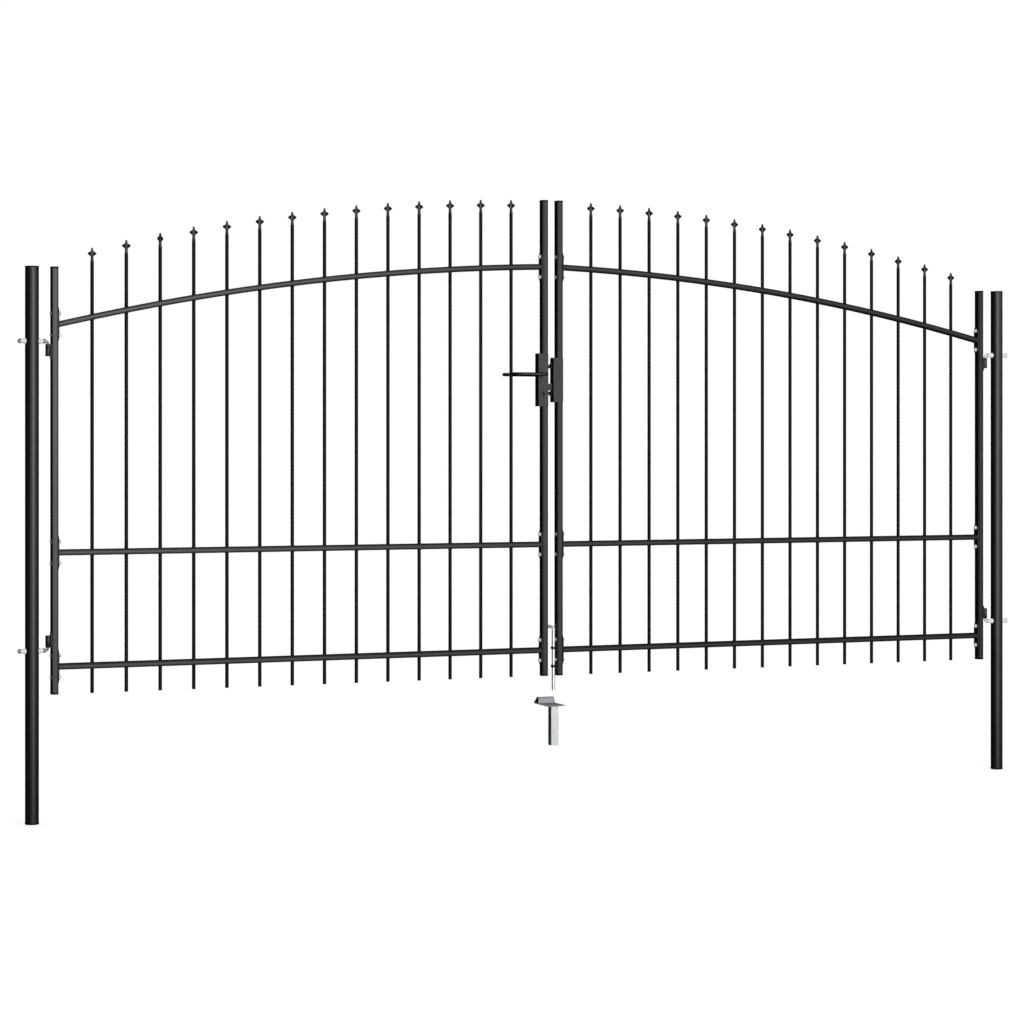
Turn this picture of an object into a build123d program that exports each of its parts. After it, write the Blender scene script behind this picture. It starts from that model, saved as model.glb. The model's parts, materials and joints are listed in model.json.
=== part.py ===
from build123d import *
import math
import os

# A double driveway gate of black steel tube: two leaves with spear-topped bars between round posts.
# Millimetres. The origin is the centre of the left post's foot, +X runs along the gate towards the
# right post, +Y runs away from the viewer and +Z is up. Each post has its buried length.

# Overall
overall_width = 4000.0
ground_level = 339.0
ground_clearance = 111.0
hinge_gap = 44.1
meeting_gap = 37.0
weld_clearance = 0.2

# Posts
post_diameter = 48.0
post_wall = 2.0
post_seam_rise = 579.0
post_spigot_length = 60.0
post_spigot_clearance = 0.3
post_cap_rim_height = 5.0
post_cap_rim_overhang = 0.7
post_cap_plug_length = 20.0
post_cap_plug_clearance = 0.2
post_cap_edge = 1.5

# Leaf frames
hinge_stile_length = 1500.0
meeting_stile_length = 1800.0
stile_width = 24.0
stile_depth = 30.0
stile_wall = 1.5
stile_corner = 3.0
stile_cap_height = 6.0
stile_cap_overhang = 0.4
stile_cap_plug_length = 15.0
stile_cap_plug_clearance = 0.2
rail_height = 21.0
rail_depth = 30.0
rail_wall = 1.5
rail_corner = 2.0
bottom_rail_rise = 97.2
middle_rail_rise = 497.4
arch_hinge_drop = 205.1
arch_meeting_drop = 252.0
arch_radius = 9085.0
end_plate_height = 120.0
end_plate_straight_height = 84.0
end_plate_tip_width = 6.0
end_plate_thickness = 3.0
end_plate_corner = 2.5

# Bars and spear heads
bar_count = 14
bar_diameter = 13.0
bar_end_gap = 134.0
tip_peak_drop = 2.5
tip_hinge_rise = 239.3
spear_width = 31.0
spear_thickness = 7.0
spear_edge = 2.0
spear_point_height = 20.6
spear_point_width = 5.4
spear_blade_height = 8.5
spear_blade_width = 9.4
spear_shoulder_width = 22.0
spear_shoulder_height = 10.0
spear_end_height = 4.6
spear_foot_drop = 10.4
spear_foot_width = 9.8
spear_neck_length = 9.0
spear_neck_diameter = 10.2
spear_taper_length = 11.6
turned_spear_index = 2
turned_spear_angle = 34.0

# Hinges
hinge_axis_offset = 12.0
hinge_rod_diameter = 10.0
hinge_rod_outer_length = 26.0
hinge_bend_radius = 10.5
hinge_hole_clearance = 0.3
top_hinge_drop = 262.0
bottom_hinge_rise = 155.0
knuckle_diameter = 18.0
knuckle_height = 42.0
knuckle_clearance = 0.25
knuckle_web_width = 12.0
knuckle_plate_thickness = 3.0
knuckle_plate_width = 20.0
knuckle_plate_tail = 10.0
nut_width = 15.0
nut_height = 8.0
saddle_length = 15.0
saddle_wide_diameter = 21.0
saddle_narrow_diameter = 13.0

# Lock, latch and levers on the left leaf, keeper on the right leaf
lock_drop = 428.0
lock_case_width = 41.5
lock_case_depth = 33.0
lock_case_height = 200.0
lock_case_wall = 2.0
lock_case_corner = 3.0
lever_rise = 20.0
lever_diameter = 13.0
lever_stand_off = 60.0
lever_length = 134.0
lever_return = 24.0
lever_bend_radius = 14.0
lever_rose_diameter = 26.0
lever_rose_thickness = 5.0
lever_face_clearance = 0.3
spindle_width = 8.0
spindle_depth = 12.0
spindle_clearance = 0.3
cylinder_drop = 54.0
cylinder_diameter = 24.0
cylinder_stand_out = 1.5
keyway_height = 21.0
keyway_width = 10.0
keyway_depth = 10.0
latch_drop = 27.0
latch_tall = 26.0
latch_thickness = 10.0
latch_length = 42.0
latch_reach = 9.5
latch_nose_depth = 6.0
latch_nose_cut = 5.0
latch_clearance = 0.4
keeper_width = 41.0
keeper_depth = 33.0
keeper_height = 169.0
keeper_wall = 2.0
keeper_corner = 3.0
keeper_slot_clearance = 3.0
stud_rise = 44.0
stud_root_height = 22.0
stud_tip_height = 4.0
stud_thickness = 10.0
stud_clearance = 0.5

# Drop bolt on the right leaf and its ground socket
bolt_diameter = 13.0
bolt_axis_offset = 9.5
bolt_ground_gap = 55.0
bolt_handle_rise = 183.0
bolt_handle_length = 62.0
bolt_bend_radius = 12.0
guide_rises = (35.5, 104.8)
guide_diameter = 20.0
guide_height = 10.0
guide_web_width = 14.0
guide_clearance = 0.4
socket_plate_width = 70.0
socket_plate_length = 134.0
socket_plate_thickness = 4.0
socket_plate_front = 27.0
socket_hole_diameter = 20.0
socket_lug_height = 22.0
socket_lug_base_length = 43.0
socket_lug_top_length = 19.0
socket_lug_top_set_back = 3.5
socket_lug_side_taper = 3.0
socket_tube_width = 30.0
socket_tube_wall = 2.0
socket_tube_length = 149.0

# Places that follow from the sizes above
post_radius = post_diameter / 2
post_inner_radius = post_radius - post_wall
right_post_x = overall_width - post_diameter
centre_x = right_post_x / 2
mid_plane = Plane.YZ.offset(centre_x)
# The leaves are set back so that their knuckles lie flush with the stiles' front faces
leaf_set_back = (stile_depth - knuckle_diameter) / 2
leaf_plane = Pos(0, leaf_set_back, 0)
leaf_width = (overall_width - meeting_gap) / 2 - post_diameter - hinge_gap
hinge_stile_x = post_radius + hinge_gap + stile_width / 2
meeting_stile_x = post_radius + hinge_gap + leaf_width - stile_width / 2
hinge_axis_x = post_radius + hinge_gap - hinge_axis_offset
rail_start_x = hinge_stile_x + stile_width / 2 + end_plate_thickness
rail_end_x = meeting_stile_x - stile_width / 2 - end_plate_thickness
bar_pitch = (meeting_stile_x - hinge_stile_x - 2 * bar_end_gap) / (bar_count - 1)
bar_places = [hinge_stile_x + bar_end_gap + number * bar_pitch for number in range(bar_count)]
leaf_bottom = ground_level + ground_clearance
leaf_top = leaf_bottom + meeting_stile_length
post_height = leaf_bottom + hinge_stile_length
post_seam_height = ground_level + post_seam_rise
bottom_rail_z = leaf_bottom + bottom_rail_rise
middle_rail_z = leaf_bottom + middle_rail_rise
arch_hinge_z = post_height - arch_hinge_drop
arch_meeting_z = leaf_top - arch_meeting_drop
tip_peak_z = leaf_top - tip_peak_drop
tip_fall = tip_peak_z - arch_hinge_z - tip_hinge_rise
spear_height = spear_point_height + spear_foot_drop + spear_neck_length + spear_taper_length
top_hinge_height = post_height - top_hinge_drop
bottom_hinge_height = leaf_bottom + bottom_hinge_rise
lock_centre_height = arch_meeting_z - lock_drop
lever_height = lock_centre_height + lever_rise
cylinder_height = lock_centre_height - cylinder_drop
latch_height = lock_centre_height - latch_drop
right_meeting_face_x = centre_x + meeting_gap / 2
lock_case_x = centre_x - meeting_gap / 2 - lock_case_width / 2
keeper_face_x = right_meeting_face_x + stile_width - keeper_width
bolt_x = right_meeting_face_x - bolt_axis_offset
bolt_bottom = ground_level + bolt_ground_gap
bolt_handle_height = leaf_bottom + bolt_handle_rise

os.makedirs("parts", exist_ok=True)


def save(name, shape):
    export_step(shape, f"parts/{name}.step")


def save_pair(name, left_shape):
    save(f"left_{name}", left_shape)
    save(f"right_{name}", mirror(left_shape, about=mid_plane))


def save_leaf(name, shape):
    save(name, leaf_plane * shape)


def save_leaf_pair(name, left_shape):
    save_pair(name, leaf_plane * left_shape)


def rod_along(points, bend_radius, diameter):
    path = FilletPolyline(*points, radius=bend_radius)
    section = Plane(origin=path @ 0, z_dir=path % 0) * Circle(diameter / 2)
    return sweep(section, path=path)


def upright_cylinder(diameter, bottom, top, x=0, y=0):
    return Pos(x, y, bottom) * extrude(Circle(diameter / 2), top - bottom)


def rod_x(diameter, start, end, y=0, z=0):
    return Plane(origin=(start, y, z), z_dir=(1, 0, 0)) * extrude(Circle(diameter / 2), end - start)


def rod_y(diameter, start, end, x=0, z=0):
    return Plane(origin=(x, start, z), z_dir=(0, 1, 0)) * extrude(Circle(diameter / 2), end - start)


def box_between(low, high):
    size = [top - bottom for bottom, top in zip(low, high)]
    return Pos(*low) * Box(*size, align=(Align.MIN, Align.MIN, Align.MIN))


def tube_section(width, depth, wall, corner):
    hollow = RectangleRounded(width - 2 * wall, depth - 2 * wall, corner - wall)
    return RectangleRounded(width, depth, corner) - hollow


def outline_face(plane, half_outline):
    other_half = [(-across, along) for across, along in reversed(half_outline)]
    return plane * make_face(Polyline(*half_outline, *other_half, close=True))


# Posts: two sections each, the lower one swaged to a spigot that enters the upper one
hinge_heights = (bottom_hinge_height, top_hinge_height)
post_holes = [
    rod_x(hinge_rod_diameter + 2 * hinge_hole_clearance, -post_diameter, post_diameter, z=height)
    for height in hinge_heights
]
spigot_radius = post_inner_radius - post_spigot_clearance
lower_outline = Polyline(
    (post_inner_radius, post_cap_rim_height),
    (post_radius, post_cap_rim_height),
    (post_radius, post_seam_height),
    (spigot_radius, post_seam_height),
    (spigot_radius, post_seam_height + post_spigot_length),
    (spigot_radius - post_wall, post_seam_height + post_spigot_length),
    (spigot_radius - post_wall, post_seam_height - post_wall),
    (post_inner_radius, post_seam_height - post_wall),
    close=True,
)
lower_post = revolve(Plane.XZ * make_face(lower_outline), axis=Axis.Z) - post_holes
upper_post_length = post_height - post_cap_rim_height - post_seam_height
upper_section = Circle(post_radius) - Circle(post_inner_radius)
upper_post = Pos(0, 0, post_seam_height) * extrude(upper_section, upper_post_length) - post_holes
save_pair("post_lower", lower_post)
save_pair("post_upper", upper_post)


def post_cap():
    rim_diameter = post_diameter + 2 * post_cap_rim_overhang
    plug_diameter = 2 * (post_inner_radius - post_cap_plug_clearance)
    rim = upright_cylinder(rim_diameter, 0, post_cap_rim_height)
    rim = chamfer(rim.faces().sort_by(Axis.Z)[-1].edges(), post_cap_edge)
    return rim + upright_cylinder(plug_diameter, -post_cap_plug_length, 0)


save_pair("post_top_cap", Pos(0, 0, post_height - post_cap_rim_height) * post_cap())
save_pair("post_foot_cap", Pos(0, 0, post_cap_rim_height) * Rot(180, 0, 0) * post_cap())


# Leaf frames: tube stiles with plastic caps, and rails welded to bolted end plates
def stile(length, x):
    tube_length = length - 2 * stile_cap_height
    section = tube_section(stile_width, stile_depth, stile_wall, stile_corner)
    return Pos(x, 0, leaf_bottom + stile_cap_height) * extrude(section, tube_length)


def stile_cap():
    spread = 2 * stile_cap_overhang
    inset = 2 * (stile_wall + stile_cap_plug_clearance)
    rim = RectangleRounded(stile_width + spread, stile_depth + spread, stile_corner)
    plug = RectangleRounded(stile_width - inset, stile_depth - inset, stile_corner - stile_wall)
    return extrude(rim, stile_cap_height) + extrude(plug, -stile_cap_plug_length)


def stile_cap_pair(length, x):
    top = Pos(x, 0, leaf_bottom + length - stile_cap_height) * stile_cap()
    foot = Pos(x, 0, leaf_bottom + stile_cap_height) * Rot(180, 0, 0) * stile_cap()
    return [top, foot]


# The arch is one circle through both stile centre lines, rising towards the meeting stile
arch_run = meeting_stile_x - hinge_stile_x
arch_rise = arch_meeting_z - arch_hinge_z
arch_chord = math.hypot(arch_run, arch_rise)
arch_depth = math.sqrt(arch_radius**2 - (arch_chord / 2) ** 2)
arch_mid_x = (hinge_stile_x + meeting_stile_x) / 2
arch_mid_z = (arch_hinge_z + arch_meeting_z) / 2
arch_x = arch_mid_x + arch_depth * arch_rise / arch_chord
arch_z = arch_mid_z - arch_depth * arch_run / arch_chord


def arch_height(x):
    return arch_z + math.sqrt(arch_radius**2 - (x - arch_x) ** 2)


bar_bores = [
    upright_cylinder(bar_diameter + 2 * weld_clearance, leaf_bottom, leaf_top, x=place)
    for place in bar_places
]


def rail_section(plane):
    return plane * tube_section(rail_depth, rail_height, rail_wall, rail_corner)


def straight_rail(height):
    plane = Plane(origin=(rail_start_x, 0, height), x_dir=(0, 1, 0), z_dir=(1, 0, 0))
    return extrude(rail_section(plane), rail_end_x - rail_start_x) - bar_bores


def arched_rail():
    start_angle = math.degrees(math.acos((meeting_stile_x - arch_x) / arch_radius))
    end_angle = math.degrees(math.acos((hinge_stile_x - arch_x) / arch_radius))
    path = Plane.XZ * CenterArc((arch_x, arch_z), arch_radius, start_angle, end_angle - start_angle)
    plane = Plane(origin=path @ 0, x_dir=(0, 1, 0), z_dir=path % 0)
    tube = sweep(rail_section(plane), path=path)
    between_plates = box_between(
        (rail_start_x, -rail_depth, leaf_bottom), (rail_end_x, rail_depth, leaf_top)
    )
    return (tube & between_plates) - bar_bores


def end_plate(x, height):
    tip = (end_plate_tip_width / 2, end_plate_height / 2)
    shoulder = (stile_depth / 2, end_plate_straight_height / 2)
    lower_half = [(across, -along) for across, along in (shoulder, tip)]
    outline = outline_face(Plane.XY, [tip, shoulder, *lower_half])
    outline = fillet(outline.vertices(), end_plate_corner)
    face = Plane(origin=(x, 0, height), x_dir=(0, 1, 0), z_dir=(1, 0, 0))
    return extrude(face * outline, end_plate_thickness)


end_plates = []
for height in (bottom_rail_z, middle_rail_z):
    end_plates += [end_plate(rail_start_x - end_plate_thickness, height), end_plate(rail_end_x, height)]
end_plates += [
    end_plate(rail_start_x - end_plate_thickness, arch_height(rail_start_x)),
    end_plate(rail_end_x, arch_height(rail_end_x)),
]
stile_caps = stile_cap_pair(hinge_stile_length, hinge_stile_x)
stile_caps += stile_cap_pair(meeting_stile_length, meeting_stile_x)

save_leaf_pair("hinge_stile", stile(hinge_stile_length, hinge_stile_x))
save_leaf_pair("stile_caps", Compound(stile_caps))
save_leaf_pair("bottom_rail", straight_rail(bottom_rail_z))
save_leaf_pair("middle_rail", straight_rail(middle_rail_z))
save_leaf_pair("top_rail", arched_rail())
save_leaf_pair("rail_end_plates", Compound(end_plates))


# Bars: their spear tips lie on a parabola that peaks at the meeting stile
def tip_height(x):
    share_of_run = (meeting_stile_x - x) / (meeting_stile_x - hinge_stile_x)
    return tip_peak_z - tip_fall * share_of_run**2


def spear():
    front = outline_face(
        Plane.XZ,
        [
            (spear_point_width / 2, spear_point_height),
            (spear_blade_width / 2, spear_blade_height),
            (spear_shoulder_width / 2, spear_shoulder_height / 2),
            (spear_width / 2, spear_end_height / 2),
            (spear_width / 2, -spear_end_height / 2),
            (spear_shoulder_width / 2, -spear_shoulder_height / 2),
            (spear_foot_width / 2, -spear_foot_drop),
        ],
    )
    plan = outline_face(
        Plane(origin=(0, 0, -spear_foot_drop), x_dir=(0, 1, 0), z_dir=(0, 0, 1)),
        [(spear_edge / 2, spear_width / 2), (spear_thickness / 2, 0), (spear_edge / 2, -spear_width / 2)],
    )
    side = outline_face(
        Plane.YZ,
        [
            (spear_edge / 2, spear_point_height),
            (spear_thickness / 2, 0),
            (spear_thickness / 2, -spear_foot_drop),
        ],
    )
    blade = extrude(front, spear_thickness, both=True)
    blade = blade & extrude(plan, spear_point_height + spear_foot_drop)
    blade = blade & extrude(side, spear_width, both=True)
    neck_foot = -spear_foot_drop - spear_neck_length
    neck = upright_cylinder(spear_neck_diameter, neck_foot, -spear_foot_drop)
    taper = Pos(0, 0, neck_foot - spear_taper_length) * Cone(
        bar_diameter / 2,
        spear_neck_diameter / 2,
        spear_taper_length,
        align=(Align.CENTER, Align.CENTER, Align.MIN),
    )
    return blade + neck + taper


def spear_row(turned_index=None):
    head = spear()
    row = []
    for number, place in enumerate(bar_places):
        turn = turned_spear_angle if number == turned_index else 0
        row.append(Pos(place, 0, tip_height(place) - spear_point_height) * Rot(0, 0, turn) * head)
    return Compound(row)


bars = [
    upright_cylinder(bar_diameter, leaf_bottom, tip_height(place) - spear_height, x=place)
    for place in bar_places
]
save_leaf_pair("bars", Compound(bars))
save_leaf("left_spears", spear_row(turned_spear_index))
save_leaf("right_spears", mirror(spear_row(), about=mid_plane))


# Hinges: bent rods through the posts, with the top pin hanging down and the bottom pin standing up
def hinge_rod(height, pin_direction):
    outer_end = -post_radius - hinge_rod_outer_length
    pin_end = height + pin_direction * (hinge_bend_radius + knuckle_height)
    points = [(outer_end, 0, height), (hinge_axis_x, 0, height), (hinge_axis_x, 0, pin_end)]
    return rod_along(points, hinge_bend_radius, hinge_rod_diameter)


def saddle(height, side):
    bore = rod_x(hinge_rod_diameter + 2 * weld_clearance, -hinge_axis_x, hinge_axis_x, z=height)
    post = upright_cylinder(post_diameter, height - post_diameter, height + post_diameter)
    length = saddle_length + post_radius
    narrow_end = Plane(origin=(side * length, 0, height), z_dir=(-side, 0, 0))
    slope = (saddle_wide_diameter - saddle_narrow_diameter) / 2 / saddle_length
    flare = Cone(
        saddle_narrow_diameter / 2,
        saddle_narrow_diameter / 2 + slope * length,
        length,
        align=(Align.CENTER, Align.CENTER, Align.MIN),
    )
    return narrow_end * flare - post - bore


def nut(height, side):
    inner_face = post_radius + saddle_length
    face = Plane(origin=(side * inner_face, 0, height), z_dir=(side, 0, 0))
    hexagon = RegularPolygon(nut_width / 2, side_count=6, major_radius=False)
    return extrude(face * (hexagon - Circle(hinge_rod_diameter / 2 + weld_clearance)), nut_height)


def knuckle(height, pin_direction):
    rod_end = height + pin_direction * hinge_bend_radius
    far_end = rod_end + pin_direction * knuckle_height
    low, high = sorted((rod_end, far_end))
    tail = far_end + pin_direction * knuckle_plate_tail
    plate_low, plate_high = sorted((rod_end, tail))
    plate_x = post_radius + hinge_gap - knuckle_plate_thickness
    eye = upright_cylinder(knuckle_diameter, low, high, x=hinge_axis_x)
    web = box_between(
        (hinge_axis_x, -knuckle_web_width / 2, low), (plate_x, knuckle_web_width / 2, high)
    )
    plate_front = -knuckle_diameter / 2
    plate = box_between(
        (plate_x, plate_front, plate_low),
        (plate_x + knuckle_plate_thickness, plate_front + knuckle_plate_width, plate_high),
    )
    bore_diameter = hinge_rod_diameter + 2 * knuckle_clearance
    return eye + web + plate - upright_cylinder(bore_diameter, low, high, x=hinge_axis_x)


hinges = [(bottom_hinge_height, 1), (top_hinge_height, -1)]
sides = (-1, 1)
save_pair("hinge_rods", Compound([hinge_rod(height, pin) for height, pin in hinges]))
save_pair("hinge_saddles", Compound([saddle(height, side) for height in hinge_heights for side in sides]))
save_pair("hinge_nuts", Compound([nut(height, side) for height in hinge_heights for side in sides]))
save_pair("hinge_knuckles", Compound([knuckle(height, pin) for height, pin in hinges]))


# Lock case and keeper: boxes that wrap a stile, hollow beside it and closed round it
def box_on_stile(face_x, stile_face_x, width, depth, height, wall, corner):
    low_z = lock_centre_height - height / 2
    high_z = lock_centre_height + height / 2
    body = box_between((face_x, -depth / 2, low_z), (face_x + width, depth / 2, high_z))
    body = fillet(body.faces().sort_by(Axis.X)[0].edges(), corner)
    room_for_stile = box_between(
        (stile_face_x, -stile_depth / 2, low_z), (stile_face_x + stile_width, stile_depth / 2, high_z)
    )
    hollow = box_between(
        (face_x + wall, wall - depth / 2, low_z + wall), (stile_face_x, depth / 2 - wall, high_z - wall)
    )
    return body - room_for_stile - hollow


def latch_passage(clearance):
    return box_between(
        (
            lock_case_x - lock_case_width / 2 + lock_case_wall,
            -latch_thickness / 2 - clearance,
            latch_height - latch_tall / 2 - clearance,
        ),
        (
            right_meeting_face_x,
            latch_thickness / 2 + clearance,
            latch_height + latch_tall / 2 + clearance,
        ),
    )


spindle_bore = rod_y(
    math.sqrt(2) * spindle_width + 2 * spindle_clearance,
    -lock_case_depth,
    lock_case_depth,
    x=lock_case_x,
    z=lever_height,
)
cylinder_bore = rod_y(
    cylinder_diameter + 2 * weld_clearance,
    -lock_case_depth,
    lock_case_depth,
    x=lock_case_x,
    z=cylinder_height,
)
lock_cuts = [spindle_bore, cylinder_bore]
left_meeting_stile = stile(meeting_stile_length, meeting_stile_x)
save_leaf("left_meeting_stile", left_meeting_stile - lock_cuts - latch_passage(latch_clearance))
save_leaf("right_meeting_stile", mirror(left_meeting_stile, about=mid_plane))

lock_case = box_on_stile(
    lock_case_x - lock_case_width / 2,
    meeting_stile_x - stile_width / 2,
    lock_case_width,
    lock_case_depth,
    lock_case_height,
    lock_case_wall,
    lock_case_corner,
)
save_leaf("lock_case", lock_case - lock_cuts)

cylinder_end = lock_case_depth / 2 + cylinder_stand_out
cylinder = rod_y(cylinder_diameter, -cylinder_end, cylinder_end, x=lock_case_x, z=cylinder_height)
for side in sides:
    keyway_face = Plane(
        origin=(lock_case_x, side * cylinder_end, cylinder_height), x_dir=(0, 0, 1), z_dir=(0, -side, 0)
    )
    cylinder -= extrude(keyway_face * SlotOverall(keyway_height, keyway_width), keyway_depth)
save_leaf("lock_cylinder", cylinder)

keeper = box_on_stile(
    keeper_face_x,
    right_meeting_face_x,
    keeper_width,
    keeper_depth,
    keeper_height,
    keeper_wall,
    keeper_corner,
)
save_leaf("keeper", keeper - latch_passage(keeper_slot_clearance))


def keeper_stud(side):
    tip_x = centre_x - meeting_gap / 2 + stud_clearance
    inner_z = lock_centre_height + side * stud_rise
    outline = Polyline(
        (keeper_face_x, inner_z),
        (tip_x, inner_z),
        (tip_x, inner_z + side * stud_tip_height),
        (keeper_face_x, inner_z + side * stud_root_height),
        close=True,
    )
    return extrude(Plane.XZ * make_face(outline), stud_thickness / 2, both=True)


save_leaf("keeper_studs", Compound([keeper_stud(side) for side in sides]))

latch_tip_x = keeper_face_x + latch_reach
latch_plan = Polyline(
    (latch_tip_x - latch_length, -latch_thickness / 2),
    (latch_tip_x - latch_nose_depth, -latch_thickness / 2),
    (latch_tip_x, latch_nose_cut - latch_thickness / 2),
    (latch_tip_x, latch_thickness / 2),
    (latch_tip_x - latch_length, latch_thickness / 2),
    close=True,
)
latch = Pos(0, 0, latch_height - latch_tall / 2) * extrude(make_face(latch_plan), latch_tall)
save_leaf("latch_tongue", latch)


# Levers: bent rods either side of the case on one square spindle
def lever():
    rose_face = -lock_case_depth / 2 - lever_face_clearance
    points = [
        (lock_case_x, rose_face, lever_height),
        (lock_case_x, -lever_stand_off, lever_height),
        (lock_case_x - lever_length, -lever_stand_off, lever_height),
        (lock_case_x - lever_length, lever_return - lever_stand_off, lever_height),
    ]
    rod = rod_along(points, lever_bend_radius, lever_diameter)
    rose = rod_y(
        lever_rose_diameter,
        rose_face - lever_rose_thickness,
        rose_face,
        x=lock_case_x,
        z=lever_height,
    )
    return rod + rose - spindle(spindle_width + 2 * weld_clearance)


def spindle(width):
    end = lock_case_depth / 2 + spindle_depth
    face = Plane(origin=(lock_case_x, -end, lever_height), z_dir=(0, 1, 0))
    return extrude(face * Rectangle(width, width), 2 * end)


front_lever = lever()
save_leaf("front_lever", front_lever)
save_leaf("back_lever", mirror(front_lever, about=Plane.XZ))
save_leaf("lever_spindle", spindle(spindle_width))


# Drop bolt: a bent rod in two guides on the right meeting stile, over a socket set in the ground
def bolt_guide(height):
    low = height - guide_height / 2
    high = height + guide_height / 2
    eye = upright_cylinder(guide_diameter, low, high, x=bolt_x)
    web = box_between(
        (bolt_x, -guide_web_width / 2, low), (right_meeting_face_x, guide_web_width / 2, high)
    )
    clear_of_stile = box_between(
        (right_meeting_face_x, -guide_diameter, low),
        (right_meeting_face_x + stile_width, guide_diameter, high),
    )
    bore = upright_cylinder(bolt_diameter + 2 * guide_clearance, low, high, x=bolt_x)
    return eye + web - clear_of_stile - bore


bolt_points = [
    (bolt_x, 0, bolt_bottom),
    (bolt_x, 0, bolt_handle_height),
    (bolt_x, bolt_handle_length, bolt_handle_height),
]
save_leaf("drop_bolt", rod_along(bolt_points, bolt_bend_radius, bolt_diameter))
save_leaf("bolt_guides", Compound([bolt_guide(leaf_bottom + rise) for rise in guide_rises]))

plate_low_z = ground_level - socket_plate_thickness
plate_back = socket_plate_length - socket_plate_front
plate = box_between(
    (bolt_x - socket_plate_width / 2, -socket_plate_front, plate_low_z),
    (bolt_x + socket_plate_width / 2, plate_back, ground_level),
)
lug_base = Plane(origin=(bolt_x, plate_back - socket_lug_base_length / 2, ground_level))
lug_top_y = socket_lug_top_set_back + (socket_lug_top_length - socket_lug_base_length) / 2
lug_top = lug_base.offset(socket_lug_height)
lug = loft(
    [
        lug_base * Rectangle(socket_plate_width, socket_lug_base_length),
        lug_top
        * Pos(0, lug_top_y, 0)
        * Rectangle(socket_plate_width - 2 * socket_lug_side_taper, socket_lug_top_length),
    ]
)
socket_hole = upright_cylinder(socket_hole_diameter, plate_low_z, ground_level, x=bolt_x)
save_leaf("socket_plate", plate + lug - socket_hole)

socket_outer = Rectangle(socket_tube_width, socket_tube_width)
socket_inner_width = socket_tube_width - 2 * socket_tube_wall
socket_section = socket_outer - Rectangle(socket_inner_width, socket_inner_width)
socket_tube_foot = Pos(bolt_x, 0, plate_low_z - socket_tube_length)
save_leaf("socket_tube", socket_tube_foot * extrude(socket_section, socket_tube_length))
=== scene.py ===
import json
import math
import random
import bpy
from mathutils import Matrix, Vector


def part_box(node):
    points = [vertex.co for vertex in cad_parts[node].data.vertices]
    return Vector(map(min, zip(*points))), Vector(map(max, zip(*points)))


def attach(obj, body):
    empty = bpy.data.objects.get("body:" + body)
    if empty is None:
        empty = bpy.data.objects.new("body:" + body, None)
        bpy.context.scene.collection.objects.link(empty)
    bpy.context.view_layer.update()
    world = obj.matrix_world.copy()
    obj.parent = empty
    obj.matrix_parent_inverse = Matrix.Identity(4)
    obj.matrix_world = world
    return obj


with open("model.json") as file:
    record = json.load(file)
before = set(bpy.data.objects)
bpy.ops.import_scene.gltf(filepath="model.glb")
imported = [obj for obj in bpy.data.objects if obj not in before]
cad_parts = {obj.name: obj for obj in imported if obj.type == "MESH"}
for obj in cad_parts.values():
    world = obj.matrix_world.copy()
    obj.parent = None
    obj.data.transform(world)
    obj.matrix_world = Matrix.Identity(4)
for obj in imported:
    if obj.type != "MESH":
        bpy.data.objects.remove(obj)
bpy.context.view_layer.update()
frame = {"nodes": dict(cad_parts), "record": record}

nodes = frame["nodes"]
random.seed(7)
print("frame loaded:", len(nodes), "nodes")


# Places on the left leaf, read off the CAD nodes; the right leaf mirrors them about the middle
def extent(box, axis):
    return getattr(box[1], axis) - getattr(box[0], axis)


def middle(box, axis):
    return (getattr(box[0], axis) + getattr(box[1], axis)) / 2


midX = (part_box("left_post_upper")[0].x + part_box("right_post_upper")[1].x) / 2
postX = middle(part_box("left_post_upper"), "x")
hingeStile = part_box("left_hinge_stile")
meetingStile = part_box("left_meeting_stile")
leafY = middle(hingeStile, "y")
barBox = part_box("left_bars")
barCount = 14
barRadius = extent(barBox, "y") / 2
barPitch = (extent(barBox, "x") - 2 * barRadius) / (barCount - 1)
barPlaces = [barBox[0].x + barRadius + i * barPitch for i in range(barCount)]
spearHalf = barPlaces[0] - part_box("left_spears")[0].x
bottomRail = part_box("left_bottom_rail")
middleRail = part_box("left_middle_rail")
railHalf = extent(bottomRail, "z") / 2
railHalfDeep = extent(bottomRail, "y") / 2
railEnds = (bottomRail[0].x, bottomRail[1].x)
straightRails = [middle(rail, "z") for rail in (bottomRail, middleRail)]

# The top rail's arc, and the curve that the spear heads' tips follow
archSet = {"hinge": 1.7449, "meeting": 1.998, "radius": 9.085}
tipSet = {"peak": 2.2475, "fall": 0.2633, "spear": 0.0516}
archStart = middle(hingeStile, "x")
archEnd = middle(meetingStile, "x")
archRun = archEnd - archStart
archRise = archSet["meeting"] - archSet["hinge"]
archChord = math.hypot(archRun, archRise)
archDepth = math.sqrt(archSet["radius"] ** 2 - (archChord / 2) ** 2)
archX = (archStart + archEnd) / 2 + archDepth * archRise / archChord
archZ = (archSet["hinge"] + archSet["meeting"]) / 2 - archDepth * archRun / archChord


def archHeight(x):
    return archZ + math.sqrt(archSet["radius"] ** 2 - (x - archX) ** 2)


def archSlope(x):
    return math.atan2(archX - x, archHeight(x) - archZ)


def spearFoot(x):
    return tipSet["peak"] - tipSet["fall"] * ((archEnd - x) / archRun) ** 2 - tipSet["spear"]


# Node helpers: a socket takes a link from another socket, or a plain value
def wire(tree, socket, source):
    if isinstance(source, bpy.types.NodeSocket):
        tree.links.new(source, socket)
    else:
        socket.default_value = source


def mathNode(tree, operation, *sources):
    node = tree.nodes.new("ShaderNodeMath")
    node.operation = operation
    for socket, source in zip(node.inputs, sources):
        wire(tree, socket, source)
    return node.outputs["Value"]


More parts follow.
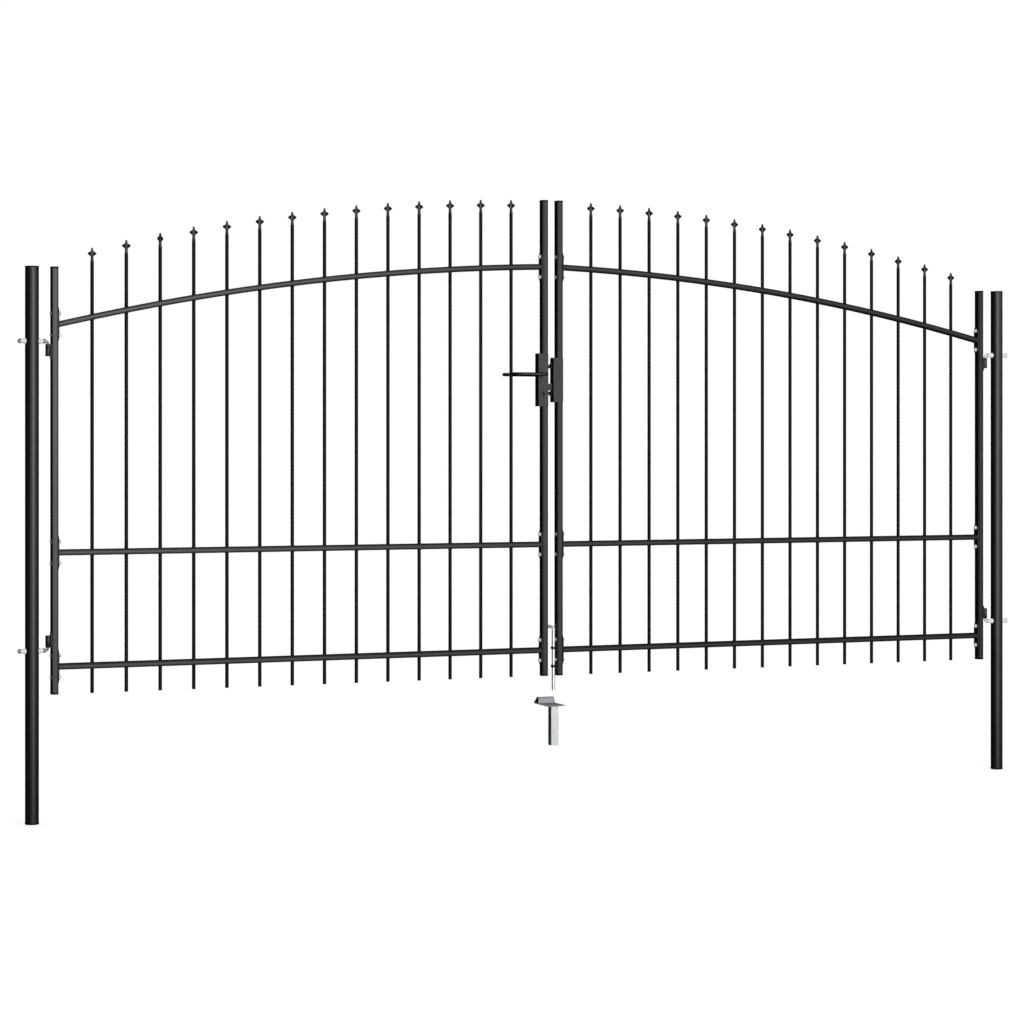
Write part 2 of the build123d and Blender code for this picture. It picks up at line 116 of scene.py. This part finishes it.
def rangeNode(tree, value, fromRange, toRange, kind="LINEAR"):
    node = tree.nodes.new("ShaderNodeMapRange")
    node.interpolation_type = kind
    for socket, source in zip(node.inputs, (value, *fromRange, *toRange)):
        wire(tree, socket, source)
    return node.outputs["Result"]


def mixNode(tree, kind, factor, first, second):
    node = tree.nodes.new("ShaderNodeMix")
    node.data_type = kind
    sockets = [socket for socket in node.inputs if socket.enabled]
    for socket, source in zip(sockets, (factor, first, second)):
        wire(tree, socket, source)
    return next(socket for socket in node.outputs if socket.enabled)


def noiseNode(tree, place, scale, detail):
    node = tree.nodes.new("ShaderNodeTexNoise")
    for label, source in (("Vector", place), ("Scale", scale), ("Detail", detail)):
        wire(tree, node.inputs[label], source)
    return node.outputs["Fac"]


def placeNode(tree, kind):
    parts = tree.nodes.new("ShaderNodeSeparateXYZ")
    wire(tree, parts.inputs["Vector"], tree.nodes.new("ShaderNodeTexCoord").outputs[kind])
    return parts.outputs


# Shared node groups: a grained or spangled finish, and a mask that grows towards a piece's edges
def newGroup(name, inputs, outputs):
    tree = bpy.data.node_groups.new(name, "ShaderNodeTree")
    for way, sockets in (("INPUT", inputs), ("OUTPUT", outputs)):
        for label, kind in sockets.items():
            tree.interface.new_socket(name=label, in_out=way, socket_type="NodeSocket" + kind)
    return tree, tree.nodes.new("NodeGroupInput").outputs, tree.nodes.new("NodeGroupOutput").inputs


noiseSpread = (0.3, 0.7)  # a noise texture seldom leaves this range
noiseDetail = {"tone": 3.0, "rough": 2.0, "grain": 1.0}


def finishGroup(name, spangled):
    inputs = {"Dark": "Color", "Light": "Color", "Tone Scale": "Float", "Rough Low": "Float",
              "Rough High": "Float", "Rough Scale": "Float", "Grain Scale": "Float", "Stretch": "Vector"}
    tree, given, out = newGroup(name, inputs, {"Color": "Color", "Roughness": "Float", "Height": "Float"})
    place = tree.nodes.new("ShaderNodeTexCoord").outputs["Object"]
    stretch = tree.nodes.new("ShaderNodeVectorMath")
    stretch.operation = "MULTIPLY"
    wire(tree, stretch.inputs[0], place)
    wire(tree, stretch.inputs[1], given["Stretch"])
    stretched = stretch.outputs["Vector"]
    if spangled:
        cells = tree.nodes.new("ShaderNodeTexVoronoi")
        wire(tree, cells.inputs["Vector"], place)
        wire(tree, cells.inputs["Scale"], given["Tone Scale"])
        channels = tree.nodes.new("ShaderNodeSeparateColor")
        wire(tree, channels.inputs["Color"], cells.outputs["Color"])
        tone = channels.outputs["Red"]
    else:
        clouds = noiseNode(tree, place, given["Tone Scale"], noiseDetail["tone"])
        tone = rangeNode(tree, clouds, noiseSpread, (0.0, 1.0))
    rough = noiseNode(tree, stretched, given["Rough Scale"], noiseDetail["rough"])
    roughRange = (given["Rough Low"], given["Rough High"])
    wire(tree, out["Color"], mixNode(tree, "RGBA", tone, given["Dark"], given["Light"]))
    wire(tree, out["Roughness"], rangeNode(tree, rough, noiseSpread, roughRange))
    wire(tree, out["Height"], noiseNode(tree, stretched, given["Grain Scale"], noiseDetail["grain"]))
    return tree


def edgeGroup(name):
    inputs = {"Across": "Float", "Deep": "Float", "Start": "Float", "End": "Float"}
    tree, given, out = newGroup(name, inputs, {"Edge": "Float"})
    across, deep = (mathNode(tree, "ABSOLUTE", given[label]) for label in ("Across", "Deep"))
    nearest = mathNode(tree, "MINIMUM", across, deep)  # 1 on a corner, 0 on a face's middle line
    reach = (given["Start"], given["End"])
    wire(tree, out["Edge"], rangeNode(tree, nearest, reach, (0.0, 1.0), "SMOOTHSTEP"))
    return tree


grainedFinish = finishGroup("grainedFinish", False)
spangledFinish = finishGroup("spangledFinish", True)
edgeMask = edgeGroup("edgeMask")


# How far a point lies from a tube's middle, across and deep, each from -1 to 1 at the faces
def facePlace(tree, axes):
    place = placeNode(tree, "Generated")
    return [mathNode(tree, "MULTIPLY_ADD", place[axis], 2.0, -1.0) for axis in axes]


def stilePlace(tree):
    return facePlace(tree, "XY")


def railPlace(tree):
    return facePlace(tree, "ZY")


def fromMiddle(tree, x):
    return mathNode(tree, "ABSOLUTE", mathNode(tree, "SUBTRACT", x, midX))


def archPlace(tree):
    place = placeNode(tree, "Object")
    spoke = tree.nodes.new("ShaderNodeCombineXYZ")
    wire(tree, spoke.inputs["X"], mathNode(tree, "SUBTRACT", midX - archX, fromMiddle(tree, place["X"])))
    wire(tree, spoke.inputs["Z"], mathNode(tree, "SUBTRACT", place["Z"], archZ))
    length = tree.nodes.new("ShaderNodeVectorMath")
    length.operation = "LENGTH"
    wire(tree, length.inputs[0], spoke.outputs["Vector"])
    out = mathNode(tree, "SUBTRACT", length.outputs["Value"], archSet["radius"])
    deep = mathNode(tree, "SUBTRACT", place["Y"], leafY)
    return mathNode(tree, "DIVIDE", out, railHalf), mathNode(tree, "DIVIDE", deep, railHalfDeep)


# How far a point of a spear head lies from its bar's middle line, and a point of a lever from its hub
def spearPlace(tree):
    beside = fromMiddle(tree, placeNode(tree, "Object")["X"])
    steps = mathNode(tree, "DIVIDE", mathNode(tree, "SUBTRACT", beside, midX - barPlaces[-1]), barPitch)
    offset = mathNode(tree, "SUBTRACT", steps, mathNode(tree, "ROUND", steps))
    away = mathNode(tree, "MULTIPLY", offset, barPitch / spearHalf)
    return away, away


def leverPlace(tree):
    fromHub = mathNode(tree, "SUBTRACT", 1.0, placeNode(tree, "Generated")["X"])
    return fromHub, fromHub


# What a look has unless it says otherwise
plainLook = {"coat": 0.0, "coatRoughness": 0.4, "metallic": 0.0, "specular": 0.5, "stretch": (1, 1, 1),
             "spangled": False}


def makeMaterial(name, ownLook, edgePlace=None):
    look = {**plainLook, **ownLook}
    material = bpy.data.materials.new(name)
    material.use_nodes = True
    tree = material.node_tree
    shader = tree.nodes["Principled BSDF"].inputs
    finish = tree.nodes.new("ShaderNodeGroup")
    finish.node_tree = spangledFinish if look["spangled"] else grainedFinish
    values = {"Dark": (*look["dark"], 1), "Light": (*look["light"], 1), "Tone Scale": look["toneScale"],
              "Rough Low": look["roughness"][0], "Rough High": look["roughness"][1],
              "Rough Scale": look["roughScale"], "Grain Scale": look["grainScale"],
              "Stretch": look["stretch"]}
    for label, value in values.items():
        finish.inputs[label].default_value = value
    bump = tree.nodes.new("ShaderNodeBump")
    bump.inputs["Strength"].default_value = look["bump"]
    bump.inputs["Distance"].default_value = look["depth"]
    wire(tree, bump.inputs["Height"], finish.outputs["Height"])
    wire(tree, shader["Base Color"], finish.outputs["Color"])
    wire(tree, shader["Roughness"], finish.outputs["Roughness"])
    wire(tree, shader["Normal"], bump.outputs["Normal"])
    gloss = look["coat"]
    if edgePlace:  # the coat changes towards the piece's edges
        edge = tree.nodes.new("ShaderNodeGroup")
        edge.node_tree = edgeMask
        for socket, source in zip(edge.inputs, (*edgePlace(tree), *look["edgeSpan"])):
            wire(tree, socket, source)
        gloss = mixNode(tree, "FLOAT", edge.outputs["Edge"], gloss, look["edgeCoat"])
    wire(tree, shader["Coat Weight"], gloss)
    metal = look["metallic"]
    # Over this span of the height the metal gives way to a matt colour: on the drop bolt's grip a near-white
    # painted reflection, on the socket's plate a dark grey painted shade
    if "pale" in look:  # the metal dulls to pale grey over these shares of the piece's height
        metal = rangeNode(tree, placeNode(tree, "Generated")["Z"], look["pale"], (metal, 0.0))
    wire(tree, shader["Metallic"], metal)
    shader["Specular IOR Level"].default_value = look["specular"]
    shader["Coat Roughness"].default_value = look["coatRoughness"]
    return material


# Semi-gloss black powder coat with a fine orange peel
coatLook = {
    "dark": (0.0035, 0.0035, 0.0038), "light": (0.0055, 0.0055, 0.0058), "toneScale": 4.0,
    "roughness": (0.40, 0.46), "roughScale": 35.0, "coat": 0.82, "coatRoughness": 0.39,
    "grainScale": 650.0, "bump": 0.05, "depth": 0.0003, "specular": 0.06,
}
# The same coat: glossier on the posts, duller along the tubes' edges, flat on the bars, and dull
# towards the spear heads' barbs and the levers' tips
postLook = {**coatLook, "coat": 1.0}
stileLook = {**coatLook, "edgeCoat": 0.25, "edgeSpan": (0.30, 0.85)}
railLook = {**coatLook, "coat": 0.9, "edgeCoat": 0.15, "edgeSpan": (0.05, 0.65)}
barLook = {**coatLook, "coat": 0.0, "bump": 0.01, "specular": 0.10}
spearLook = {**barLook, "specular": 0.03, "coat": 0.9, "edgeCoat": 0.0, "edgeSpan": (0.05, 0.5)}
leverLook = {**coatLook, "coat": 1.0, "edgeCoat": 0.1, "edgeSpan": (0.70, 0.88)}
# Matt moulded plastic of the caps and the keeper's ears
plasticLook = {
    "dark": (0.0035, 0.0035, 0.0035), "light": (0.006, 0.006, 0.006), "toneScale": 30.0,
    "roughness": (0.50, 0.60), "roughScale": 120.0,
    "grainScale": 1500.0, "bump": 0.08, "depth": 0.0002, "specular": 0.10,
}
# Dull zinc plate, faintly brushed round the rods
zincLook = {
    "dark": (0.60, 0.61, 0.62), "light": (0.70, 0.71, 0.72), "toneScale": 60.0,
    "roughness": (0.28, 0.38), "roughScale": 150.0, "stretch": (1.0, 1.0, 6.0),
    "grainScale": 900.0, "bump": 0.03, "depth": 0.0002, "metallic": 0.72,
}
# Painted light: brighter, less metallic lit copies of the zinc on the drop bolt, the dome nuts and the right
# hinges, with a matt near-white painted reflection on the drop bolt's grip
gripSet = {"tall": 0.015, "fadeShare": 0.01}
gripShare = 1 - gripSet["tall"] / extent(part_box("drop_bolt"), "z")
litRodLook = {**zincLook, "dark": (0.82, 0.83, 0.84), "light": (0.90, 0.91, 0.92),
           "pale": (gripShare - gripSet["fadeShare"], gripShare)}
litZincLook = {**zincLook, "dark": (0.80, 0.81, 0.82), "light": (0.88, 0.89, 0.90), "metallic": 0.3}
# Painted shade: a greyer, less metallic shaded copy of the same zinc on the left hinges
shadedZincLook = {**zincLook, "dark": (0.24, 0.24, 0.25), "light": (0.30, 0.30, 0.31), "metallic": 0.2,
           "roughness": (0.45, 0.55)}
# Painted reflection: the zinc hinge saddles get a matt near-white that stands in for their bright reflection
saddleReflectionLook = {
    "dark": (0.86, 0.86, 0.85), "light": (0.90, 0.90, 0.89), "toneScale": 40.0,
    "roughness": (0.30, 0.40), "roughScale": 120.0,
    "grainScale": 1500.0, "bump": 0.04, "depth": 0.0002,
}
# Black plug of the lock cylinder
cylinderLook = {
    "dark": (0.004, 0.004, 0.004), "light": (0.007, 0.007, 0.0075), "toneScale": 90.0,
    "roughness": (0.34, 0.42), "roughScale": 200.0, "coat": 0.82,
    "grainScale": 1200.0, "bump": 0.05, "depth": 0.0002, "specular": 0.06,
}
# Hot-dip galvanised steel with its spangle, bright on the socket's tube
galvanisedLook = {
    "dark": (0.64, 0.65, 0.66), "light": (0.72, 0.73, 0.74), "toneScale": 130.0, "spangled": True,
    "roughness": (0.38, 0.52), "roughScale": 90.0,
    "grainScale": 700.0, "bump": 0.08, "depth": 0.0003, "metallic": 0.97,
}
# Painted shade: a darker, shaded copy of the galvanised steel on the socket's plate, matt grey with no metal
# in its sheet below the lug
plateSet = {"tall": 0.0045, "fadeShare": 0.02}
plateShare = plateSet["tall"] / extent(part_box("socket_plate"), "z")
shadedPlateLook = {**galvanisedLook, "dark": (0.21, 0.21, 0.22), "light": (0.24, 0.24, 0.25),
            "pale": (plateShare + plateSet["fadeShare"], plateShare)}

# Each slot's own material, and the finishes of nodes that differ from their slot's
materials = {
    "black_coat": makeMaterial("blackCoat", coatLook),
    "black_plastic": makeMaterial("blackPlastic", plasticLook),
    "zinc": makeMaterial("zincPlate", zincLook),
    # Painted reflection: the saddles' matt near-white stands in for the shine of their zinc
    "white_plastic": makeMaterial("saddleReflectionWhite", saddleReflectionLook),
    "cylinder_metal": makeMaterial("cylinderBlack", cylinderLook),
    "galvanised": makeMaterial("galvanisedSteel", galvanisedLook),
}
litZinc = makeMaterial("litZinc", litZincLook)
shadedZinc = makeMaterial("shadedZinc", shadedZincLook)
postCoat = makeMaterial("postCoat", postLook)
stileCoat = makeMaterial("stileCoat", stileLook, stilePlace)
railCoat = makeMaterial("railCoat", railLook, railPlace)
leverCoat = makeMaterial("leverCoat", leverLook, leverPlace)
nodeFinishes = {
    # Painted shade on the socket's plate, painted light on the drop bolt: each a lit or shaded copy of its
    # metal
    "socket_plate": makeMaterial("shadedGalvanised", shadedPlateLook), "drop_bolt": makeMaterial("litRodZinc", litRodLook),
    "front_lever": leverCoat, "back_lever": leverCoat,
    # Painted shade on the left hinges, painted light on the right ones: two copies of one zinc
    "left_hinge_nuts": shadedZinc, "left_hinge_rods": shadedZinc,
    "right_hinge_nuts": litZinc, "right_hinge_rods": litZinc,
}
pairFinishes = {
    "post_upper": postCoat, "post_lower": postCoat,
    "bars": makeMaterial("barCoat", barLook), "spears": makeMaterial("spearCoat", spearLook, spearPlace),
    "hinge_stile": stileCoat, "meeting_stile": stileCoat,
    "bottom_rail": railCoat, "middle_rail": railCoat,
    "top_rail": makeMaterial("archCoat", railLook, archPlace),
}
for piece, finish in pairFinishes.items():
    nodeFinishes["left_" + piece] = finish
    nodeFinishes["right_" + piece] = finish
nodeSlots = {item["node"]: item["material_slot"] for item in frame["record"]["subparts"]}
for name, node in nodes.items():
    node.data.materials.clear()
    node.data.materials.append(nodeFinishes.get(name, materials[nodeSlots[name]]))
print("materials made:", len(bpy.data.materials))


# Mesh helpers: each piece gathers points and faces, then becomes one object that rides a body
def newMesh():
    return {"points": [], "faces": []}


def circleAngles(count, turn=0.0):
    return [turn + 2 * math.pi * k / count for k in range(count)]


def addStrip(mesh, rings, closedRings=False, capEnds=False):
    sides = len(rings[0])
    starts = [len(mesh["points"]) + i * sides for i in range(len(rings))]
    for ring in rings:
        mesh["points"] += [tuple(point) for point in ring]
    steps = list(zip(starts, starts[1:]))
    if closedRings:
        steps.append((starts[-1], starts[0]))
    for here, there in steps:
        for k in range(sides):
            m = (k + 1) % sides
            mesh["faces"].append((here + k, here + m, there + m, there + k))
    if capEnds:
        mesh["faces"].append(tuple(starts[0] + k for k in reversed(range(sides))))
        mesh["faces"].append(tuple(starts[-1] + k for k in range(sides)))


def axisFrame(origin, axis):
    return Matrix.Translation(origin) @ Vector(axis).to_track_quat("Z", "Y").to_matrix().to_4x4()


def addTurned(mesh, place, profile, sides, turn=0.0):
    rings = []
    for radius, height in profile:
        angles = circleAngles(sides, turn)
        rings.append([place @ Vector((radius * math.cos(a), radius * math.sin(a), height)) for a in angles])
    addStrip(mesh, rings, capEnds=True)


# A bead's ripples along its path, as shares of its radius
rippleSet = {"swellShare": 0.16, "stepAngle": 2.4, "scatterShare": 0.1, "sides": 6}


def addBead(mesh, path, radius, closed=True):
    count = len(path)
    rings = []
    for i, point in enumerate(path):
        ahead = path[(i + 1) % count] if closed or i < count - 1 else point
        behind = path[i - 1] if closed or i > 0 else point
        along = (ahead - behind).normalized()
        side = along.orthogonal().normalized()
        other = along.cross(side)
        swell = rippleSet["swellShare"] * math.sin(rippleSet["stepAngle"] * i)
        size = radius * (1 + swell + random.uniform(-rippleSet["scatterShare"], rippleSet["scatterShare"]))
        angles = circleAngles(rippleSet["sides"])
        rings.append([point + (side * math.cos(a) + other * math.sin(a)) * size for a in angles])
    addStrip(mesh, rings, closedRings=closed, capEnds=not closed)


def mirrored(mesh):
    points = [(2 * midX - x, y, z) for x, y, z in mesh["points"]]
    return {"points": points, "faces": [tuple(reversed(face)) for face in mesh["faces"]]}


def addPiece(name, mesh, body, slot, smoothAngle=40, finish=None):
    data = bpy.data.meshes.new(name)
    data.from_pydata(mesh["points"], [], mesh["faces"])
    data.update()
    data.shade_smooth()
    data.set_sharp_from_angle(angle=math.radians(smoothAngle))
    data.materials.append(finish or materials[slot])
    piece = bpy.data.objects.new(name, data)
    bpy.context.scene.collection.objects.link(piece)
    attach(piece, body)


def addPair(name, mesh, bodies, slot, smoothAngle=40, finish=None):
    addPiece("left_" + name, mesh, bodies[0], slot, smoothAngle, finish)
    addPiece("right_" + name, mirrored(mesh), bodies[1], slot, smoothAngle, finish)


leaves = ("left_leaf", "right_leaf")
posts = ("posts", "posts")
beadSmooth = 60  # degrees, for beads and threads

# Bolts through the stiles and end plates: button heads outside, dome nuts inside
boltSet = {
    "rise": 0.0382, "sides": 20,
    "washer": 0.0082, "washerTall": 0.0010, "washerFlat": 0.0008, "washerEdge": 0.0003,
    "head": 0.0066, "headTall": 0.0034, "headArc": (0.0, 0.35, 0.7, 1.05, 1.35),
    "nutCorner": 0.00748, "nutTall": 0.0028, "dome": 0.0060, "domeArc": (0.0, 0.3, 0.6, 0.9, 1.2, 1.45),
}


def domeProfile(radius, foot, tall, angles):
    return [(radius * math.cos(a), foot + tall * math.sin(a)) for a in angles]


washer, washerTall, washerFlat = boltSet["washer"], boltSet["washerTall"], boltSet["washerFlat"]
nutTop = washerTall + boltSet["nutTall"]
headProfile = [(washer, 0), (washer, washerFlat), (washer - boltSet["washerEdge"], washerTall)]
headProfile += domeProfile(boltSet["head"], washerTall, boltSet["headTall"], boltSet["headArc"])
backWasher = [(washer, 0), (washer, washerTall)]
nutProfile = [(boltSet["nutCorner"], washerTall), (boltSet["nutCorner"], nutTop)]
capProfile = domeProfile(boltSet["dome"], nutTop, boltSet["dome"], boltSet["domeArc"])
hingeHeights = straightRails + [archHeight(railEnds[0])]
meetingHeights = straightRails + [archHeight(railEnds[1])]
boltPlaces = [(hingeStile[0].x, railEnds[0], 1, z) for z in hingeHeights]
boltPlaces += [(meetingStile[1].x, railEnds[1], -1, z) for z in meetingHeights]
boltHeads, domeNuts = newMesh(), newMesh()
for headX, nutX, inward, height in boltPlaces:
    for rise in (-boltSet["rise"], boltSet["rise"]):
        out = axisFrame((headX, leafY, height + rise), (-inward, 0, 0))
        back = axisFrame((nutX, leafY, height + rise), (inward, 0, 0))
        addTurned(boltHeads, out, headProfile, boltSet["sides"])
        addTurned(domeNuts, back, backWasher, boltSet["sides"])
        addTurned(domeNuts, back, nutProfile, 6, random.uniform(0, 1))  # a hexagon, turned as it was left
        addTurned(domeNuts, back, capProfile, boltSet["sides"])
addPair("leaf_bolt_heads", boltHeads, leaves, "zinc")
addPair("leaf_dome_nuts", domeNuts, leaves, "zinc", finish=litZinc)
print("bolts made")

# Weld beads round the bars, at the rails' ends and at the knuckles
weldSet = {"ring": 0.0014, "ringGap": 0.0003, "ringPoints": 18, "rail": 0.0016, "corner": 0.002,
           "knuckle": 0.0016, "seamPoints": 14}
knuckleSet = {"web": (-0.006, 0.006), "plateThick": 0.003, "webTall": 0.042, "tail": 0.010}
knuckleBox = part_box("left_hinge_knuckles")


def ringPath(x, height, slope, side):
    reach = barRadius + weldSet["ringGap"]
    path = []
    for angle in circleAngles(weldSet["ringPoints"]):
        away = Vector((reach * math.cos(angle), reach * math.sin(angle), 0))
        lift = side * railHalf / math.cos(slope) + away.x * math.tan(slope)
        path.append(Vector((x, leafY, height + lift)) + away)
    return path


def tubeLoop(wide, tall, corner, perSide=9):
    loop = []
    for turn in range(4):
        long, high = (wide, tall) if turn % 2 == 0 else (tall, wide)
        for k in range(perSide):
            along = (long - corner) * (2 * k / (perSide - 1) - 1)
            loop.append([(along, high), (high, -along), (-along, -high), (-high, along)][turn])
    return loop


welds = newMesh()
for x in barPlaces:
    for height, slope in [(z, 0.0) for z in straightRails] + [(archHeight(x), archSlope(x))]:
        for side in (-1, 1):
            addBead(welds, ringPath(x, height, slope, side), weldSet["ring"])
railLoop = tubeLoop(railHalfDeep, railHalf, weldSet["corner"])
for x, heights in ((railEnds[0], hingeHeights), (railEnds[1], meetingHeights)):
    for height in heights:
        addBead(welds, [Vector((x, leafY + a, height + b)) for a, b in railLoop], weldSet["rail"])
plateX, count = hingeStile[0].x, weldSet["seamPoints"]
seams = [(plateX, y, knuckleSet["webTall"] + knuckleSet["tail"]) for y in (knuckleBox[0].y, knuckleBox[1].y)]
seams += [(plateX - knuckleSet["plateThick"], y, knuckleSet["webTall"]) for y in knuckleSet["web"]]
for start, up in ((knuckleBox[0].z, 1), (knuckleBox[1].z, -1)):
    for x, y, length in seams:
        path = [Vector((x, y, start + up * length * (k + 0.5) / count)) for k in range(count)]
        addBead(welds, path, weldSet["knuckle"], closed=False)
addPair("leaf_welds", welds, leaves, "black_coat", beadSmooth)
print("welds made")

# Cast collars where the spear heads sit on the bars
collarSet = {"radius": 0.0069, "tall": 0.0028, "lip": 0.0009, "inset": 0.0002, "sides": 24}
collarWide, collarTall, collarLip = collarSet["radius"], collarSet["tall"], collarSet["lip"]
collarProfile = [(barRadius, 0), (collarWide, collarLip), (collarWide, collarTall - collarLip),
                 (barRadius - collarSet["inset"], collarTall)]
collars = newMesh()
for x in barPlaces:
    place = Matrix.Translation((x, leafY, spearFoot(x) - collarTall / 2))
    addTurned(collars, place, collarProfile, collarSet["sides"])
addPair("leaf_spear_collars", collars, leaves, "black_coat")
print("collars made")

# Rolled thread on the hinge rods' outer ends, from start to end off the post's middle
threadSet = {"pitch": 0.0015, "root": 0.0049, "crest": 0.0054, "start": -0.0468, "end": -0.0498,
             "sides": 24, "perTurn": 8}
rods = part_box("left_hinge_rods")
rodRadius = extent(rods, "y") / 2
perTurn = threadSet["perTurn"]
threadTurns = (threadSet["start"] - threadSet["end"]) / threadSet["pitch"]


def threadRing(i, height):
    x = postX + threadSet["start"] - i * threadSet["pitch"] / perTurn
    ring = []
    for angle in circleAngles(threadSet["sides"]):
        wave = 0.5 + 0.5 * math.cos(2 * math.pi * i / perTurn - angle)
        radius = threadSet["root"] + (threadSet["crest"] - threadSet["root"]) * wave
        ring.append(Vector((x, radius * math.cos(angle), height + radius * math.sin(angle))))
    return ring


threads = newMesh()
for height in (rods[0].z + rodRadius, rods[1].z - rodRadius):
    rings = [threadRing(i, height) for i in range(int(threadTurns * perTurn) + 1)]
    addStrip(threads, rings, capEnds=True)
addPair("hinge_threads", threads, posts, "zinc", beadSmooth)
print("threads made")

# Weld under the ground socket's plate
socketWeldSet = {"radius": 0.0018, "corner": 0.001}
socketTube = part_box("socket_tube")
socketX = middle(socketTube, "x")
tubeHalf = extent(socketTube, "x") / 2
socketLoop = tubeLoop(tubeHalf, tubeHalf, socketWeldSet["corner"])
socketPath = [Vector((socketX + a, leafY + b, socketTube[1].z)) for a, b in socketLoop]
socketWeld = newMesh()
addBead(socketWeld, socketPath, socketWeldSet["radius"])
addPiece("socket_weld", socketWeld, "posts", "galvanised", beadSmooth)

# Softened edges on the folded and cut pieces
edgeSet = {"merge": 0.00001, "segments": 2, "angle": 40}
edgeWidths = {
    "lock_case": 0.0012, "keeper": 0.0012, "left_rail_end_plates": 0.0008, "right_rail_end_plates": 0.0008,
    "left_hinge_knuckles": 0.0008, "right_hinge_knuckles": 0.0008, "left_hinge_nuts": 0.0008,
    "right_hinge_nuts": 0.0008, "bolt_guides": 0.0007, "socket_plate": 0.0008, "latch_tongue": 0.0006,
}
for name, width in edgeWidths.items():
    joined = nodes[name].modifiers.new("joined", "WELD")
    joined.merge_threshold = edgeSet["merge"]
    edge = nodes[name].modifiers.new("edge", "BEVEL")
    edge.width = width
    edge.segments = edgeSet["segments"]
    edge.limit_method = "ANGLE"
    edge.angle_limit = math.radians(edgeSet["angle"])
    edge.harden_normals = True
print("edges softened:", len(edgeWidths))


# Stage: the world and the floor look white to the camera and in gloss, and light the gate softly
def pathMix(tree, plain, shown):
    path = tree.nodes.new("ShaderNodeLightPath").outputs
    either = mathNode(tree, "MAXIMUM", path["Is Camera Ray"], path["Is Glossy Ray"])
    every = mathNode(tree, "MAXIMUM", either, path["Is Transmission Ray"])
    return rangeNode(tree, every, (0.0, 1.0), (plain, shown))


def mattMaterial(name, level):
    material = bpy.data.materials.new(name)
    material.use_nodes = True
    shader = material.node_tree.nodes["Principled BSDF"].inputs
    shader["Base Color"].default_value = (level, level, level, 1)
    shader["Roughness"].default_value = 1.0
    shader["Specular IOR Level"].default_value = 0.0
    return material


def addBoard(name, corners, material):
    data = bpy.data.meshes.new(name)
    data.from_pydata(corners, [], [(0, 1, 2, 3)])
    data.materials.append(material)
    board = bpy.data.objects.new(name, data)
    bpy.context.scene.collection.objects.link(board)
    return board


worldLevel = {"plain": 0.65, "shown": 1.0}
world = bpy.data.worlds.new("studio")
world.use_nodes = True
bpy.context.scene.world = world
background = world.node_tree.nodes["Background"].inputs
background["Color"].default_value = (1, 1, 1, 1)
worldStrength = pathMix(world.node_tree, worldLevel["plain"], worldLevel["shown"])
wire(world.node_tree, background["Strength"], worldStrength)

floorLook = {"colour": 0.65, "shown": 0.58, "half": 40.0, "drop": -0.001}
paleFloor = mattMaterial("paleFloor", floorLook["colour"])
floorTree = paleFloor.node_tree
floorShader = floorTree.nodes["Principled BSDF"].inputs
floorShader["Emission Color"].default_value = (1, 1, 1, 1)
wire(floorTree, floorShader["Emission Strength"], pathMix(floorTree, 0.0, floorLook["shown"]))
half, drop = floorLook["half"], floorLook["drop"]
floorPoints = [(midX + x * half, y * half, drop) for x, y in ((-1, -1), (1, -1), (1, 1), (-1, 1))]
addBoard("floor", floorPoints, paleFloor)

# Dark boards out of the camera's sight keep the sides of the tubes dark, as in the photo
boardSet = {"level": 0.01, "left": -5.0, "right": 11.0, "back": 2.5, "leftFront": -6.5, "rightFront": -2.5,
            "topFront": -4.0, "top": 6.0, "foot": 0.001}
west, east, north, top, foot = (boardSet[side] for side in ("left", "right", "back", "top", "foot"))
southWest, southEast, topFront = (boardSet[side] for side in ("leftFront", "rightFront", "topFront"))
boards = {
    "leftBoard": [(west, southWest, 0), (west, north, 0), (west, north, top), (west, southWest, top)],
    "backBoard": [(west, north, 0), (east, north, 0), (east, north, top), (west, north, top)],
    "rightBoard": [(east, north, 0), (east, southEast, 0), (east, southEast, top), (east, north, top)],
    "topBoard": [(west, topFront, top), (east, topFront, top), (east, north, top), (west, north, top)],
    "lowBoard": [(west, southEast, foot), (east, southEast, foot), (east, north, foot), (west, north, foot)],
}
darkBoard = mattMaterial("darkBoard", boardSet["level"])
for name, corners in boards.items():
    board = addBoard(name, corners, darkBoard)
    board.visible_camera = False
    board.visible_diffuse = False
    board.visible_shadow = False

softboxSet = {"place": (2.35, -9.5, 2.2), "aim": (2.35, 0, 1.9), "size": (4.4, 4.4), "level": 5.9}
lamp = bpy.data.lights.new("frontSoftbox", "AREA")
lamp.shape = "RECTANGLE"
boxWide, boxTall = softboxSet["size"]
lamp.size = boxWide
lamp.size_y = boxTall
lamp.energy = softboxSet["level"] * math.pi * boxWide * boxTall
softbox = bpy.data.objects.new("frontSoftbox", lamp)
softbox.location = softboxSet["place"]
aim = Vector(softboxSet["aim"]) - Vector(softboxSet["place"])
softbox.rotation_euler = aim.to_track_quat("-Z", "Y").to_euler()
softbox.visible_camera = False
bpy.context.scene.collection.objects.link(softbox)

cameraSet = {"place": (-1.82085, -8.85473, 1.33852), "yaw": 22.3119, "lens": 89.3886, "sensor": 36.0,
             "shift": -0.0693}
camera = bpy.data.cameras.new("camera")
camera.lens = cameraSet["lens"]
camera.sensor_width = cameraSet["sensor"]
camera.shift_y = cameraSet["shift"]
cameraObject = bpy.data.objects.new("camera", camera)
cameraObject.location = cameraSet["place"]
cameraObject.rotation_euler = (math.radians(90), 0, -math.radians(cameraSet["yaw"]))
bpy.context.scene.collection.objects.link(cameraObject)
bpy.context.scene.camera = cameraObject
bpy.context.scene.view_settings.view_transform = "Standard"
print("stage set")
